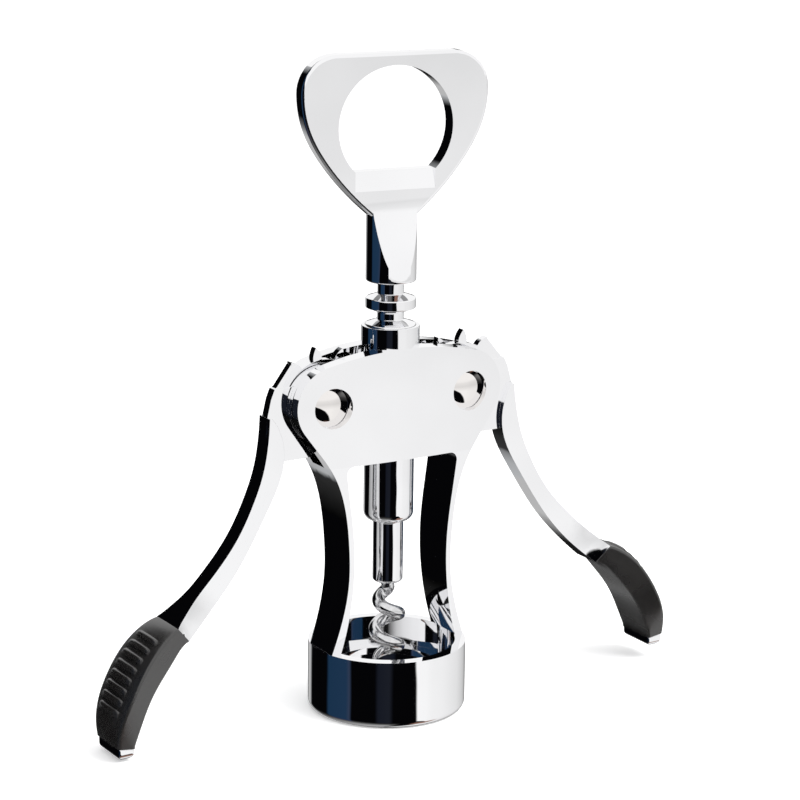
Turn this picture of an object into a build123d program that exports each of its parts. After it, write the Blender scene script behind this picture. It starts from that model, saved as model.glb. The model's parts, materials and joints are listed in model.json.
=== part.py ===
from build123d import *
import os
from math import acos, asin, atan2, cos, degrees, hypot, pi, radians, sin, sqrt, tan

os.makedirs("parts", exist_ok=True)

# Wing corkscrew, millimetres. +Z is up along the worm's axis, the two levers swing in the XZ plane,
# -Y is the front. The origin is the centre of the collar's bottom face, which rests on the bottle.

# ---------------------------------------------------------------- driving dimensions

# collar that sits over the bottle's lip
collar_radius = 19.3
collar_height = 16.8
collar_round = 1.7
lip_socket_radius = 16.7
lip_socket_depth = 8.0
lip_socket_chamfer = 0.4
lip_stop_thickness = 1.6
cork_way_radius = 13.4

# head that carries the levers
pivot_x = 18.9
pivot_z = 78.3
head_end_radius = 10.0
head_end_inset = 0.7
head_end_rise = 0.3
head_top_z = 90.9
head_half_depth = 7.05
head_end_half_depth = 5.2
lever_slot_width = 5.5
slot_floor_z = 63.2

# window and legs between head and collar
window_top_z = 63.6
window_half_width = 15.3
window_corner_radius = 2.0
leg_thickness = 1.4
leg_waist_x = 14.4
leg_waist_z = 43.0
leg_foot_x = 18.5
leg_half_depth = 6.1

# guide bush on top of the head
bush_top_z = 95.6
bush_radius = 7.05
bush_skirt_z = 87.6

# rack shaft and the fits around it
shaft_radius = 6.06
shaft_clearance = 0.09
gear_module = 2.0
gear_teeth = 12
pressure_angle = 20.0
rack_land = 2.35
rack_root_radius = 3.2
rack_teeth = 5
rack_top_tooth_z = 101.0
shaft_bottom_z = 47.2
shaft_end_round = 2.2

# spindle inside the rack shaft
spindle_radius = 2.0
spindle_clearance = 0.06
spindle_grip_length = 9.0
end_play = 0.15
ferrule_radius = 3.7
ferrule_bottom_z = 31.6
ferrule_grip_length = 4.0

# worm
worm_wire_radius = 1.6
worm_centre_radius = 2.9
worm_pitch = 8.2
worm_tip_z = 9.8
worm_tip_radius = 0.2
worm_shank_length = 6.0
worm_neck_length = 1.0

# handle with bottle opener
handle_turn = 8.0
stem_bottom_z = 106.25
stem_edge_round = 0.5
stem_top_z = 123.2
stem_cheek_bottom_z = 107.3
plate_thickness = 4.4
plate_edge_round = 0.8
plate_half_width = 23.7
plate_height = 37.5
plate_corner_radius = 9.0
opener_rim = 2.9
opener_lip_bevel_depth = 1.1

# lever
gear_thickness = 2.0
gear_tip_radius = 14.0
gear_root_radius = 10.9
gear_tooth_width = 2.2
gear_first_tooth_angle = 53.5
gear_sector_teeth = 6
hub_thickness = 4.9
hub_radius = 9.4
web_thickness = 2.6
web_shoulder_rise = 5.5
lever_lean = 1.5
arm_length = 63.5
arm_half_depth = 2.6
arm_outer_end_depth = 5.7
arm_inner_end_depth = 4.2
arm_flare_start = 0.78
arm_stations = 16

# pivot pins and their cover caps
pin_radius = 3.0
pin_clearance = 0.05
cap_radius = 4.9
cap_recess = 1.1
cap_thickness = 1.3
cap_dome = 0.45

# grip and end cap
grip_length = 31.0
grip_end_half_depth = 5.9
grip_joint_inner_depth = 4.4
grip_outer_swell = 2.2
grip_inner_swell = 0.6
grip_end_crown = 0.2
grip_middle_crown = 0.9
grip_rib_count = 8
grip_rib_height = 0.5
grip_rib_width = 1.1
grip_rib_pitch = 2.7
grip_first_rib = 6.0
grip_rib_half_length = 4.9
grip_edge_round = 0.6
tang_width = 2.4
tang_half_depth = 3.4
tang_end_length = 1.6
end_cap_height = 2.6
end_cap_inset = 0.3
end_cap_round = 0.8
end_cap_corner_round = 1.8

# ---------------------------------------------------------------- derived sizes

pitch_radius = gear_module * gear_teeth / 2
rack_pitch = pi * gear_module
bore_radius = shaft_radius + shaft_clearance
spindle_bore = spindle_radius + spindle_clearance
pin_bore = pin_radius + pin_clearance
worm_coil_top_z = ferrule_bottom_z - worm_neck_length
rack_flank = (shaft_radius - rack_root_radius) * tan(radians(pressure_angle))
plate_top_z = stem_top_z + plate_height
opener_radius = 0.387 * plate_height
opener_centre_z = plate_top_z - opener_rim - opener_radius
opener_lip_z = opener_centre_z - 0.71 * opener_radius
opener_lip_bevel_height = 0.32 * opener_radius
rack_bottom_tooth_z = rack_top_tooth_z - rack_pitch * (rack_teeth - 1)
barrel_top_z = rack_bottom_tooth_z - rack_pitch + rack_land / 2
sides = {"left": -1, "right": 1}


def front_face(*edges):
    """A face drawn in the XZ plane: each edge's points are (x, z)."""
    return make_face(Curve() + list(edges))


def standing(face, half_depth):
    """The face extruded to both sides of the XZ plane."""
    return extrude(Plane.XZ * face, amount=half_depth, both=True)


def disc(radius, z_low, z_high):
    """A round solid about the Z axis."""
    return Pos(0, 0, z_low) * Cylinder(radius, z_high - z_low, align=(Align.CENTER, Align.CENTER, Align.MIN))


def cross_rod(radius, x, z, y_from, y_to):
    """A round solid along Y at (x, z)."""
    rod = Cylinder(radius, y_to - y_from, align=(Align.CENTER, Align.CENTER, Align.MIN))
    return Pos(x, y_from, z) * Rot(-90, 0, 0) * rod


def mirrored(shape, side):
    """The right-hand shape, or its mirror image on the left."""
    return shape if side > 0 else mirror(shape, about=Plane.YZ)


# ---------------------------------------------------------------- frame casting

def head_outline():
    """Front outline of the head and legs: convex top, round ends, legs that waist in and flare out."""
    end_x = pivot_x - head_end_inset
    end_z = pivot_z + head_end_rise
    rise = head_top_z - end_z
    top_radius = (end_x**2 + rise**2 - head_end_radius**2) / (2 * (rise - head_end_radius))
    meet = asin(end_x / (top_radius - head_end_radius))
    meet_x = end_x + head_end_radius * sin(meet)
    meet_z = end_z + head_end_radius * cos(meet)
    leave = radians(-35)
    leave_x = end_x + head_end_radius * cos(leave)
    leave_z = end_z + head_end_radius * sin(leave)
    top = ThreePointArc((-meet_x, meet_z), (0, head_top_z), (meet_x, meet_z))
    edges = [top]
    for s in (-1, 1):
        end = ThreePointArc(
            (s * meet_x, meet_z), (s * (end_x + head_end_radius), end_z), (s * leave_x, leave_z)
        )
        leg = Spline(
            (s * leave_x, leave_z),
            (s * (leg_waist_x + 3.4), window_top_z - 3.6),
            (s * leg_waist_x, leg_waist_z),
            (s * leg_foot_x, collar_height),
            tangents=[(s * sin(leave), -cos(leave)), (s * 0.35, -1)],
        )
        edges += [end, leg]
    edges.append(Line((-leg_foot_x, collar_height), (leg_foot_x, collar_height)))
    return front_face(*edges)


def window_outline():
    """The open window between the legs, down into the collar."""
    foot_z = collar_height - 3
    edges = []
    for s in (-1, 1):
        side = Spline(
            (s * window_half_width, window_top_z - window_corner_radius),
            (s * (leg_waist_x - leg_thickness), leg_waist_z),
            (s * (leg_foot_x - leg_thickness), foot_z),
            tangents=[(-s * 0.12, -1), (s * 0.35, -1)],
        )
        edges.append(side)
    left, right = -window_half_width, window_half_width
    corner = window_corner_radius
    edges.append(RadiusArc((left, window_top_z - corner), (left + corner, window_top_z), corner))
    edges.append(Line((left + corner, window_top_z), (right - corner, window_top_z)))
    edges.append(RadiusArc((right - corner, window_top_z), (right, window_top_z - corner), corner))
    foot = leg_foot_x - leg_thickness
    edges.append(Line((-foot, foot_z), (foot, foot_z)))
    return front_face(*edges)


def bulged_plan(centre_half_depth, end_half_depth, z):
    """Plan section with gently convex front and back."""
    reach = pivot_x + head_end_radius
    front = ThreePointArc((-reach, -end_half_depth), (0, -centre_half_depth), (reach, -end_half_depth))
    back = ThreePointArc((-reach, end_half_depth), (0, centre_half_depth), (reach, end_half_depth))
    ends = [Line((s * reach, -end_half_depth), (s * reach, end_half_depth)) for s in (-1, 1)]
    return Pos(0, 0, z) * make_face(Curve() + [front, back] + ends)


def make_frame():
    falloff = head_half_depth - head_end_half_depth
    head_plan = bulged_plan(head_half_depth, head_end_half_depth, window_top_z)
    foot_plan = bulged_plan(leg_half_depth, leg_half_depth - falloff, collar_height - 3)
    belly = extrude(head_plan, amount=head_top_z - window_top_z + 5)
    belly += loft([foot_plan, head_plan], ruled=True)
    body = standing(head_outline(), head_half_depth + 1) & belly
    body -= standing(window_outline(), head_half_depth + 2)

    collar = disc(collar_radius, 0, collar_height)
    collar = fillet(collar.edges().group_by(Axis.Z)[0], collar_round)
    collar -= disc(lip_socket_radius, -1, lip_socket_depth)
    collar -= disc(lip_socket_radius, lip_socket_depth + lip_stop_thickness, collar_height + 1)
    collar -= disc(cork_way_radius, 0, collar_height)
    body -= disc(lip_socket_radius, collar_height - 5, collar_height)
    body += collar
    body = chamfer(socket_mouth(body), lip_socket_chamfer)

    slot = Box(
        4 * pivot_x, lever_slot_width, head_top_z - slot_floor_z + 1,
        align=(Align.CENTER, Align.CENTER, Align.MIN),
    )
    body -= Pos(0, 0, slot_floor_z) * slot
    body += disc(bush_radius, bush_skirt_z, bush_top_z)
    body -= disc(bore_radius, window_top_z - 1, bush_top_z + 1)

    seat = cap_recess + cap_thickness
    face_y = face_depth(pivot_x)
    for s in (-1, 1):
        body -= cross_rod(pin_radius, s * pivot_x, pivot_z, -face_y, face_y)
        body -= cross_rod(cap_radius, s * pivot_x, pivot_z, -head_half_depth - 1, -face_y + seat)
        body -= cross_rod(cap_radius, s * pivot_x, pivot_z, face_y - seat, head_half_depth + 1)
    return body


def socket_mouth(body):
    """The edge where the lip socket meets the collar's bottom face."""
    low = body.edges().filter_by(GeomType.CIRCLE).group_by(Axis.Z)[0]
    return [edge for edge in low if abs(edge.radius - lip_socket_radius) < 0.01]


def face_depth(x):
    """Half depth of the convex head at a given x."""
    reach = pivot_x + head_end_radius
    falloff = head_half_depth - head_end_half_depth
    radius = (reach**2 + falloff**2) / (2 * falloff)
    return head_half_depth - radius + sqrt(radius**2 - x**2)


# ---------------------------------------------------------------- rack shaft, spindle and worm

def make_rack_shaft():
    """Shaft with ring-shaped rack teeth: one revolved profile, hollow for the spindle."""
    top_z = stem_bottom_z - end_play
    half_land = rack_land / 2
    points = [(spindle_bore, shaft_bottom_z), (shaft_radius - shaft_end_round, shaft_bottom_z)]
    lower = [Line(*points)]
    lower.append(RadiusArc(
        points[-1], (shaft_radius, shaft_bottom_z + shaft_end_round), -shaft_end_round,
    ))
    outline = [(shaft_radius, shaft_bottom_z + shaft_end_round), (shaft_radius, barrel_top_z)]
    outline.append((rack_root_radius, barrel_top_z + rack_flank))
    for tooth in range(rack_teeth):
        centre = rack_bottom_tooth_z + tooth * rack_pitch
        outline.append((rack_root_radius, centre - half_land - rack_flank))
        outline.append((shaft_radius, centre - half_land))
        outline.append((shaft_radius, centre + half_land))
        outline.append((rack_root_radius, centre + half_land + rack_flank))
    outline.append((rack_root_radius, top_z))
    outline.append((spindle_bore, top_z))
    outline.append((spindle_bore, shaft_bottom_z))
    profile = front_face(*lower, Polyline(*outline))
    return revolve(Plane.XZ * profile, Axis.Z)


def make_spindle():
    return disc(
        spindle_radius, shaft_bottom_z - end_play - ferrule_grip_length, stem_bottom_z + spindle_grip_length
    )


def make_ferrule():
    ferrule_top_z = shaft_bottom_z - end_play
    ferrule = disc(ferrule_radius, ferrule_bottom_z, ferrule_top_z)
    ferrule = chamfer(ferrule.edges().group_by(Axis.Z)[0], 0.5)
    ferrule -= disc(spindle_radius, ferrule_top_z - ferrule_grip_length, ferrule_top_z)
    ferrule -= disc(worm_wire_radius, ferrule_bottom_z, ferrule_bottom_z + worm_shank_length)
    return ferrule


def worm_point(turns_down):
    """Point on the worm's centre line, which winds out from the axis over the first half turn."""
    radius = worm_centre_radius * min(1, turns_down / 0.6)
    angle = 2 * pi * turns_down
    return (radius * cos(angle), radius * sin(angle), worm_coil_top_z - worm_pitch * turns_down)


def worm_direction(turns_down):
    """Direction in which the worm's centre line runs down the helix."""
    angle = 2 * pi * turns_down
    around = 2 * pi * worm_centre_radius
    return (-around * sin(angle), around * cos(angle), -worm_pitch)


def make_worm():
    """Open wire coil with a straight shank in the ferrule and a sharpened end."""
    turns = (worm_coil_top_z - worm_tip_z) / worm_pitch
    steps = round(10 * turns)
    full_steps = steps - 4
    points = [worm_point(turns * i / steps) for i in range(steps + 1)]
    coil_path = Spline((0, 0, ferrule_bottom_z), *points[: full_steps + 1])
    end_path = Spline(*points[full_steps:], tangents=[coil_path % 1, worm_direction(turns)])
    coil = sweep(Plane(origin=coil_path @ 0, z_dir=coil_path % 0) * Circle(worm_wire_radius), coil_path)
    sections = [
        Plane(origin=end_path @ 0, z_dir=end_path % 0) * Circle(worm_wire_radius),
        Plane(origin=end_path @ 1, z_dir=end_path % 1) * Circle(worm_tip_radius),
    ]
    sharp_end = sweep(sections, end_path, multisection=True)
    shank = disc(worm_wire_radius, ferrule_bottom_z, ferrule_bottom_z + worm_shank_length)
    return coil + sharp_end + shank


# ---------------------------------------------------------------- handle

def handle_outline():
    """Rounded triangle that narrows to the stem."""
    side_z = plate_top_z - plate_corner_radius
    top_x = plate_half_width - plate_corner_radius
    foot_z = stem_top_z - plate_edge_round
    edges = [Line((-top_x, plate_top_z), (top_x, plate_top_z))]
    for s in (-1, 1):
        edges.append(RadiusArc(
            (s * top_x, plate_top_z), (s * plate_half_width, side_z), s * plate_corner_radius,
        ))
        edges.append(Spline(
            (s * plate_half_width, side_z),
            (s * plate_half_width * 0.77, side_z - 0.427 * plate_height),
            (s * shaft_radius, foot_z),
            tangents=[(0, -1), (-s, -0.85)],
        ))
    edges.append(Line((-shaft_radius, foot_z), (shaft_radius, foot_z)))
    return front_face(*edges)


def opener_hole():
    """Round hole with a flat lower lip."""
    half = acos((opener_centre_z - opener_lip_z) / opener_radius)
    lip_x = opener_radius * sin(half)
    arc = ThreePointArc(
        (-lip_x, opener_lip_z), (0, opener_centre_z + opener_radius), (lip_x, opener_lip_z)
    )
    return front_face(arc, Line((-lip_x, opener_lip_z), (lip_x, opener_lip_z)))


def make_handle():
    plate = standing(handle_outline(), plate_thickness / 2)
    plate = fillet(plate_rim_edges(plate), plate_edge_round)
    stem = disc(shaft_radius, stem_bottom_z, stem_top_z)
    stem = fillet(stem.edges().group_by(Axis.Z)[0], stem_edge_round)
    stem &= stem_cheeks()
    handle = plate + stem
    handle -= lip_bevel()
    handle -= standing(opener_hole(), plate_thickness)
    handle -= disc(spindle_radius, stem_bottom_z, stem_bottom_z + spindle_grip_length)
    return Rot(0, 0, -handle_turn) * handle


def plate_rim_edges(plate):
    """Edges around the plate's front and back, without its foot inside the stem."""
    rim = []
    for edge in plate.edges():
        on_face = abs(abs(edge.center().Y) - plate_thickness / 2) < 0.01
        if on_face and edge.center().Z > stem_top_z:
            rim.append(edge)
    return rim


def stem_cheeks():
    """What is left of the stem after its front and back are cut back flat towards the plate."""
    half_plate = plate_thickness / 2
    section = Polyline(
        (-half_plate, stem_top_z), (half_plate, stem_top_z), (shaft_radius, stem_cheek_bottom_z),
        (shaft_radius, stem_bottom_z), (-shaft_radius, stem_bottom_z), (-shaft_radius, stem_cheek_bottom_z),
        close=True,
    )
    return extrude(Plane.YZ * make_face(section), amount=shaft_radius + 1, both=True)


def lip_bevel():
    """Wedge cut from the front of the opener's lower lip."""
    front = -plate_thickness / 2
    section = Polyline(
        (front, opener_lip_z - opener_lip_bevel_height), (front - 1, opener_lip_z - opener_lip_bevel_height),
        (front - 1, opener_lip_z + 1), (front + opener_lip_bevel_depth, opener_lip_z + 1),
        (front + opener_lip_bevel_depth, opener_lip_z), close=True,
    )
    half = acos((opener_centre_z - opener_lip_z) / opener_radius)
    return extrude(Plane.YZ * make_face(section), amount=opener_radius * sin(half), both=True)


# ---------------------------------------------------------------- levers (right-hand side)

# Outline points of the lever are shares of the arm's length, measured from the pivot as (x, z).
web_shares = [
    (0.133, 0.170), (0.194, 0.093), (0.206, 0.086), (0.222, 0.050), (0.238, -0.011), (0.247, -0.076),
    (0.238, -0.194), (0.058, -0.194), (0.036, -0.142), (0, 0),
]
arm_outer_shares = [
    (0.239, -0.018), (0.249, -0.114), (0.275, -0.230), (0.316, -0.330), (0.387, -0.456), (0.489, -0.577),
    (0.580, -0.665), (0.664, -0.739),
]
arm_inner_shares = [
    (0.229, -0.018), (0.193, -0.086), (0.183, -0.185), (0.200, -0.253), (0.251, -0.355), (0.318, -0.469),
    (0.397, -0.587), (0.502, -0.706), (0.609, -0.803),
]


def from_pivot(shares):
    """Outline points from their shares of the arm's length."""
    return [(pivot_x + arm_length * x, pivot_z + arm_length * z) for x, z in shares]


arm_joint_outer = from_pivot(arm_outer_shares)[-1]
arm_joint_inner = from_pivot(arm_inner_shares)[-1]


def involute_tooth(angle):
    """One gear tooth about the origin, its centre line at the given angle."""
    base_radius = pitch_radius * cos(radians(pressure_angle))
    half_at_pitch = gear_tooth_width / (2 * pitch_radius)
    involute = tan(radians(pressure_angle)) - radians(pressure_angle)

    def half_angle(radius):
        local = acos(min(1, base_radius / radius))
        return half_at_pitch + involute - (tan(local) - local)

    def at(radius, offset):
        turn = radians(angle) + offset
        return (radius * cos(turn), radius * sin(turn))

    steps = 4
    radii = [base_radius + (gear_tip_radius - base_radius) * i / steps for i in range(steps + 1)]
    root = gear_root_radius - 0.6
    left = Spline(*[at(r, half_angle(r)) for r in radii])
    right = Spline(*[at(r, -half_angle(r)) for r in radii])
    tip_half = half_angle(gear_tip_radius)
    tip = Line(at(gear_tip_radius, tip_half), at(gear_tip_radius, -tip_half))
    start = half_angle(base_radius)
    foot = Polyline(
        at(base_radius, start), at(root, start), at(root, -start), at(base_radius, -start)
    )
    return make_face(Curve() + [left, right, tip, foot])


def gear_outline():
    """Toothed sector and the plain disc behind it, about the pivot."""
    outline = Circle(gear_root_radius)
    for tooth in range(gear_sector_teeth):
        outline += involute_tooth(gear_first_tooth_angle + tooth * 360 / gear_teeth)
    return Pos(pivot_x, pivot_z) * outline


def web_outline():
    """Web from the gear out to the arm."""
    return front_face(Polyline(*from_pivot(web_shares), close=True))


def cross_section(outer, inner, outer_depth, inner_depth):
    """Face across the lever between an outer and an inner outline point, with a half depth at each."""
    return make_face(Polyline(
        (outer[0], outer_depth, outer[1]), (inner[0], inner_depth, inner[1]),
        (inner[0], -inner_depth, inner[1]), (outer[0], -outer_depth, outer[1]), close=True,
    ))


def make_arm():
    """Curved arm from its pointed top to the joint with the grip, where it flares front to back."""
    outer = Spline(*from_pivot(arm_outer_shares))
    inner = Spline(*from_pivot(arm_inner_shares))
    sections = []
    for station in range(arm_stations + 1):
        share = station / arm_stations
        flare = (max(0, share - arm_flare_start) / (1 - arm_flare_start)) ** 2
        sections.append(cross_section(
            tuple(outer @ share)[:2],
            tuple(inner @ share)[:2],
            arm_half_depth + (arm_outer_end_depth - arm_half_depth) * flare,
            arm_half_depth + (arm_inner_end_depth - arm_half_depth) * flare,
        ))
    return loft(sections)


def make_lever():
    gear = standing(gear_outline(), gear_thickness / 2)
    web = standing(web_outline(), web_thickness / 2)
    web -= Pos(pivot_x, 0, pivot_z + web_shoulder_rise) * Box(
        arm_length, 2 * hub_thickness, arm_length, align=(Align.CENTER, Align.CENTER, Align.MIN)
    )
    web += standing(web_outline(), gear_thickness / 2)
    hub = standing(Pos(pivot_x, pivot_z) * Circle(hub_radius), hub_thickness / 2)
    lever = gear + web + hub + make_arm() + make_tang()
    lever -= cross_rod(pin_bore, pivot_x, pivot_z, -hub_thickness, hub_thickness)
    return lever


# ---------------------------------------------------------------- grips and end caps (right-hand side)

# The grip's outline points are shares of its length, measured from the middle of the joint as (x, z).
grip_outer_shares = [
    (0.196, -0.010), (0.342, -0.157), (0.449, -0.322), (0.529, -0.480), (0.576, -0.613), (0.588, -0.785),
]
grip_inner_shares = [
    (0.060, -0.138), (0.175, -0.273), (0.299, -0.443), (0.381, -0.612), (0.426, -0.725), (0.445, -0.805),
]


def from_joint(shares):
    """Outline points from their shares of the grip's length."""
    middle_x = (arm_joint_outer[0] + arm_joint_inner[0]) / 2
    middle_z = (arm_joint_outer[1] + arm_joint_inner[1]) / 2
    return [(middle_x + grip_length * x, middle_z + grip_length * z) for x, z in shares]


grip_outer_points = [arm_joint_outer] + from_joint(grip_outer_shares)
grip_inner_points = [arm_joint_inner] + from_joint(grip_inner_shares)


def grip_centre_points():
    """Middle of the grip, from the joint down to its lower end."""
    pairs = zip(grip_outer_points, grip_inner_points)
    return [((outer[0] + inner[0]) / 2, (outer[1] + inner[1]) / 2) for outer, inner in pairs]


def grip_section(number, extra_crown):
    """Cross-section at one of the grip's outline points: the outer side is crowned and the deeper one."""
    outer = grip_outer_points[number]
    inner = grip_inner_points[number]
    share = number / (len(grip_outer_points) - 1)
    swell = sin(pi * share)
    outer_depth = grip_end_half_depth + grip_outer_swell * swell
    inner_depth = grip_joint_inner_depth + (grip_end_half_depth - grip_joint_inner_depth) * sqrt(share)
    inner_depth += grip_inner_swell * swell
    crown = grip_end_crown + grip_middle_crown * swell + extra_crown
    across_x = outer[0] - inner[0]
    across_z = outer[1] - inner[1]
    width = hypot(across_x, across_z)
    crest = (outer[0] + crown * across_x / width, 0, outer[1] + crown * across_z / width)
    corners = [
        (outer[0], outer_depth, outer[1]), (inner[0], inner_depth, inner[1]),
        (inner[0], -inner_depth, inner[1]), (outer[0], -outer_depth, outer[1]),
    ]
    return make_face(Polyline(*corners) + ThreePointArc(corners[-1], crest, corners[0]))


def grip_body(extra_crown):
    """Sleeve through all cross-sections, its outer side raised by the extra crown."""
    return loft([grip_section(number, extra_crown) for number in range(len(grip_outer_points))])


def make_tang():
    """The lever's flat tang, through the grip and into the end cap."""
    points = grip_centre_points()
    points.append((points[-1][0], points[-1][1] - tang_end_length))
    line = Spline(*points)
    edges = [offset_spline(line, s * tang_width / 2) for s in (-1, 1)]
    ends = [Line(edges[0] @ t, edges[1] @ t) for t in (0, 1)]
    return standing(front_face(*edges, *ends), tang_half_depth)


def offset_spline(line, distance):
    """A spline that follows the given one at a constant distance to its side."""
    points = []
    for i in range(7):
        at = line @ (i / 6)
        along = line % (i / 6)
        points.append((at.X - distance * along.Y, at.Y + distance * along.X))
    return Spline(*points)


def make_grip():
    sleeve = grip_body(0)
    long_edges = [edge for edge in sleeve.edges() if edge.length > grip_length / 2]
    sleeve = fillet(long_edges, grip_edge_round)
    raised = grip_body(grip_rib_height)
    line = Spline(*grip_outer_points)
    for rib in range(grip_rib_count):
        share = (grip_first_rib + rib * grip_rib_pitch) / line.length
        at = line @ share
        along = line % share
        slab = Box(grip_rib_width, 2 * grip_rib_half_length, 4 * grip_middle_crown)
        slab = Pos(at.X, 0, at.Y) * Rot(0, -degrees(atan2(along.Y, along.X)), 0) * slab
        sleeve += raised & slab
    return sleeve - make_tang()


def make_end_cap():
    """Rounded metal cap on the tang's end, below the grip."""
    inner_x, inner_z = grip_inner_points[-1]
    outer_x, outer_z = grip_outer_points[-1]
    left = inner_x + end_cap_inset
    right = outer_x - end_cap_inset
    slope = (outer_z - inner_z) / (outer_x - inner_x)
    top_left = (left, inner_z + slope * end_cap_inset)
    top_right = (right, outer_z - slope * end_cap_inset)
    low = inner_z - end_cap_height
    side_z = low + end_cap_round
    outline = front_face(
        Line(top_left, top_right),
        Line(top_right, (right, side_z)),
        ThreePointArc((right, side_z), ((left + right) / 2, low), (left, side_z)),
        Line((left, side_z), top_left),
    )
    reach = grip_end_half_depth - end_cap_inset
    side = Rectangle(2 * reach, 2 * end_cap_height, align=(Align.CENTER, Align.MIN))
    side = fillet(side.vertices().group_by(Axis.Y)[0], end_cap_corner_round)
    cap = standing(outline, 2 * reach) & extrude(Plane.YZ * Pos(0, low) * side, amount=2 * outer_x)
    return cap - make_tang()


# ---------------------------------------------------------------- pins and caps

def make_pivot_pin():
    seat = cap_recess + cap_thickness
    reach = face_depth(pivot_x) - seat
    return cross_rod(pin_radius, pivot_x, pivot_z, -reach, reach)


def make_pin_cap(facing):
    """Domed cover cap pressed into the head over the pin's end; facing is -1 in front, 1 behind."""
    outer_y = face_depth(pivot_x) - cap_recess
    body = cross_rod(cap_radius, pivot_x, pivot_z, outer_y - cap_thickness, outer_y - cap_dome)
    dome_radius = (cap_radius**2 + cap_dome**2) / (2 * cap_dome)
    dome = Pos(pivot_x, outer_y - dome_radius, pivot_z) * Sphere(dome_radius)
    dome &= cross_rod(cap_radius, pivot_x, pivot_z, outer_y - cap_dome, outer_y + 1)
    cap = body + dome
    return cap if facing > 0 else mirror(cap, about=Plane.XZ)


# ---------------------------------------------------------------- write every node

def leaning(shape, side):
    """Turned about its pivot: the play in the gears lets the left lever hang lower, the right one higher."""
    pivot = (side * pivot_x, 0, pivot_z)
    half_lean = radians(lever_lean / 2)
    upright = Plane(origin=pivot, x_dir=(0, 1, 0), z_dir=(1, 0, 0))
    tilted = Plane(origin=pivot, x_dir=(0, 1, 0), z_dir=(cos(half_lean), 0, sin(half_lean)))
    return mirror(mirror(shape, about=upright), about=tilted)


parts = {
    "frame": make_frame(),
    "rack_shaft": make_rack_shaft(),
    "spindle": make_spindle(),
    "worm_ferrule": make_ferrule(),
    "worm": make_worm(),
    "opener_handle": make_handle(),
}
lever = make_lever()
grip = make_grip()
end_cap = make_end_cap()
pivot_pin = make_pivot_pin()
caps = {"front": make_pin_cap(-1), "back": make_pin_cap(1)}
for name, side in sides.items():
    parts["lever_" + name] = leaning(mirrored(lever, side), side)
    parts["grip_" + name] = leaning(mirrored(grip, side), side)
    parts["end_cap_" + name] = leaning(mirrored(end_cap, side), side)
    parts["pivot_pin_" + name] = mirrored(pivot_pin, side)
    for facing, cap in caps.items():
        parts["pin_cap_" + facing + "_" + name] = mirrored(cap, side)

for name, shape in parts.items():
    export_step(shape, f"parts/{name}.step")
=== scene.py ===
import json
from math import cos, pi, radians, sin

import bmesh
import bpy
from bpy.props import FloatProperty, FloatVectorProperty, IntProperty, PointerProperty
from mathutils import Matrix, Vector


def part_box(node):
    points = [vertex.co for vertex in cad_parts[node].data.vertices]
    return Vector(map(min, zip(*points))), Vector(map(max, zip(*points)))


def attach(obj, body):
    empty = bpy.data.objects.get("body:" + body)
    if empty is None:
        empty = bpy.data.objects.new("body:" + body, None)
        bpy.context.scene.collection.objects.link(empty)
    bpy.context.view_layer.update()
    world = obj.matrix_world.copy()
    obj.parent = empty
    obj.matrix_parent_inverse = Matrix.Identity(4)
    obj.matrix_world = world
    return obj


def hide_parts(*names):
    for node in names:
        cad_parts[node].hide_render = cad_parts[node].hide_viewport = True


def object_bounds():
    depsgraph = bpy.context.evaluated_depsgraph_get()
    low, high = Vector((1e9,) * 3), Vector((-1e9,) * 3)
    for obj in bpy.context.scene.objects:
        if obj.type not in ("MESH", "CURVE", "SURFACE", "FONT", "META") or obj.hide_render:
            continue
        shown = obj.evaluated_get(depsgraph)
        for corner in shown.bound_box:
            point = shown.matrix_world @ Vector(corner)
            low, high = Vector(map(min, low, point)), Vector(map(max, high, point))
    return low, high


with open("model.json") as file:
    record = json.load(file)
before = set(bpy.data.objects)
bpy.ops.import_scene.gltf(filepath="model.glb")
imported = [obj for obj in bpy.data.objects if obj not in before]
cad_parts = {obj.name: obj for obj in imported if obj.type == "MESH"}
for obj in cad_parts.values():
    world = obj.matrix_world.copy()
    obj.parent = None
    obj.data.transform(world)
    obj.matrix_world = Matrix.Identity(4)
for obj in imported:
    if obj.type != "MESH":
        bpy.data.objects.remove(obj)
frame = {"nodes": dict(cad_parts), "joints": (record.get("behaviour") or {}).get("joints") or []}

bl_info = {
    "name": "Wing Corkscrew",
    "version": (1, 0, 0),
    "blender": (4, 5, 0),
    "location": "View3D > Sidebar > Corkscrew",
    "description": "Finishes the pieces of a wing corkscrew and sets up its studio",
    "category": "Object",
}

MM = 0.001
cad_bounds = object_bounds()

# The right grip's outline before its lever leans: (x, z) as shares of its length, from the joint's middle.
GRIP_JOINT = (59.315 * MM, 29.34 * MM)
GRIP_LENGTH = 31 * MM
GRIP_OUTER_SHARES = [
    (0.056, 0.065), (0.196, -0.010), (0.342, -0.157), (0.449, -0.322), (0.529, -0.480), (0.576, -0.613),
    (0.588, -0.785),
]
GRIP_INNER_SHARES = [
    (-0.056, -0.065), (0.060, -0.138), (0.175, -0.273), (0.299, -0.443), (0.381, -0.612), (0.426, -0.725),
    (0.445, -0.805),
]
GRIP_END_CROWN = 0.2 * MM
GRIP_MIDDLE_CROWN = 0.9 * MM
LEVER_LEAN = 1.5

# Points of the solids' meshes nearer than this are the same point.
MERGE_DISTANCE = 0.002 * MM

# Colours of the room that the bright metal mirrors.
WHITE = (1, 1, 1, 1)
WARM_PATCH = (0.3, 0.17, 0.13, 1)
BLACK_WALL = (0.0015, 0.0015, 0.002)
BLUE_CARD = (0.011, 0.034, 0.075)
BLUE_CARD_FRONT = (0.013, 0.036, 0.08)
BLUE_CARD_EDGE = (0.03, 0.045, 0.085)
GREY_CARD = (0.009, 0.011, 0.018)
GREY_CARD_FRONT = (0.012, 0.014, 0.021)
BACK_WALL = (0.48, 0.49, 0.5)


# ---------------------------------------------------------------- sizes and colours a user may change

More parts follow.
